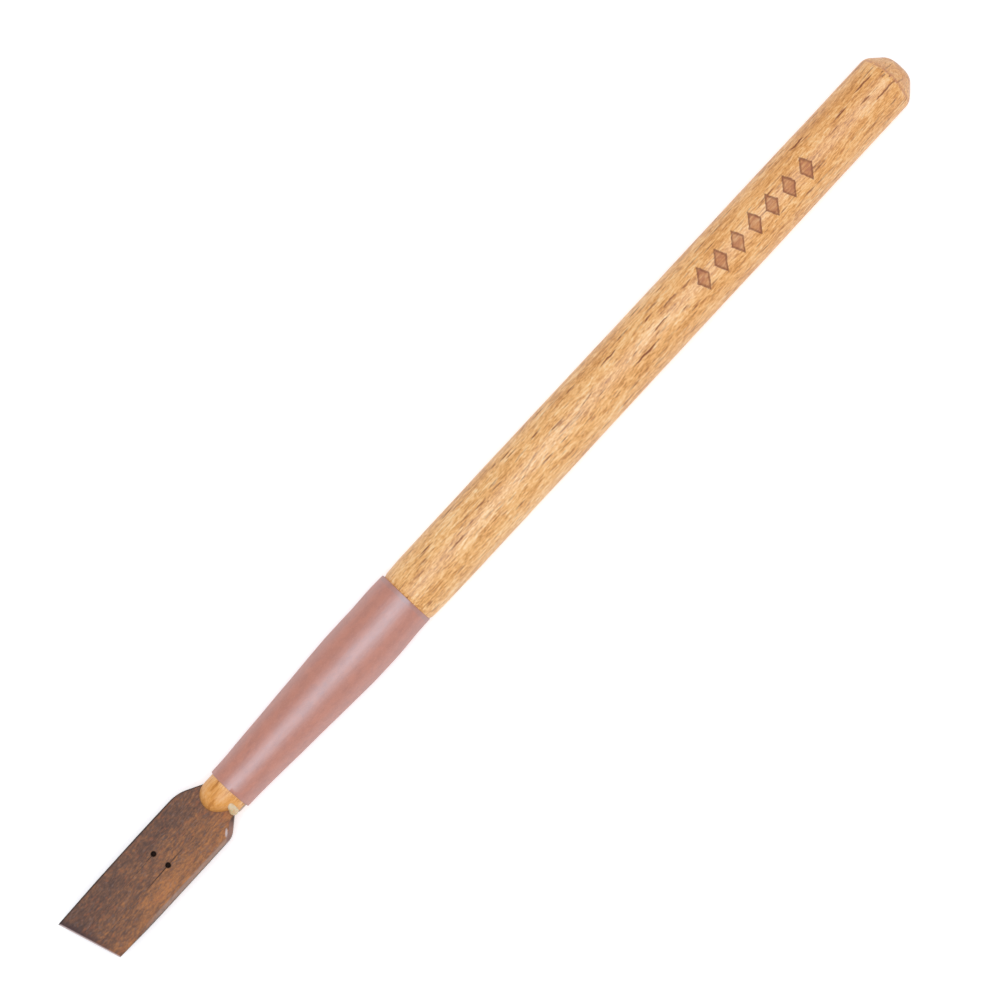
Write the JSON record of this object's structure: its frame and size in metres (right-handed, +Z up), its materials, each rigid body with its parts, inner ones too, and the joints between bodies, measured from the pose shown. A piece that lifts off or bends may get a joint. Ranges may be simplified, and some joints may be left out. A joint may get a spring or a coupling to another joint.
{
  "type": "broad-edge calligraphy pen",
  "caption": "Broad-edge calligraphy pen: flat dark wooden nib with a slanted writing edge, ink holes and slits, glued into a turned wooden handle with a shrunk-on grip sleeve.",
  "frame": {"origin": "on the surface that the pen lies on, below the middle of its overall length and of its width", "axes": "+X along the handle's axis from the writing edge to the butt, +Z up, with the nib's flat face upwards, +Y to the side of the writing edge's forward corner"},
  "size_m": [0.1878, 0.0112, 0.0104],
  "materials": {
    "handle_wood": "oiled beech, satin",
    "nib_wood": "dark hardwood, planed smooth",
    "shrink_tube": "satin heat-shrink tube",
    "dried_glue": "clear yellowish dried glue"
  },
  "bodies": {
    "root": {"handle": "handle_wood", "nib": "nib_wood", "grip_sleeve": "shrink_tube", "glue_line": "dried_glue", "glue_bead": "dried_glue"}
  },
  "joints": []
}
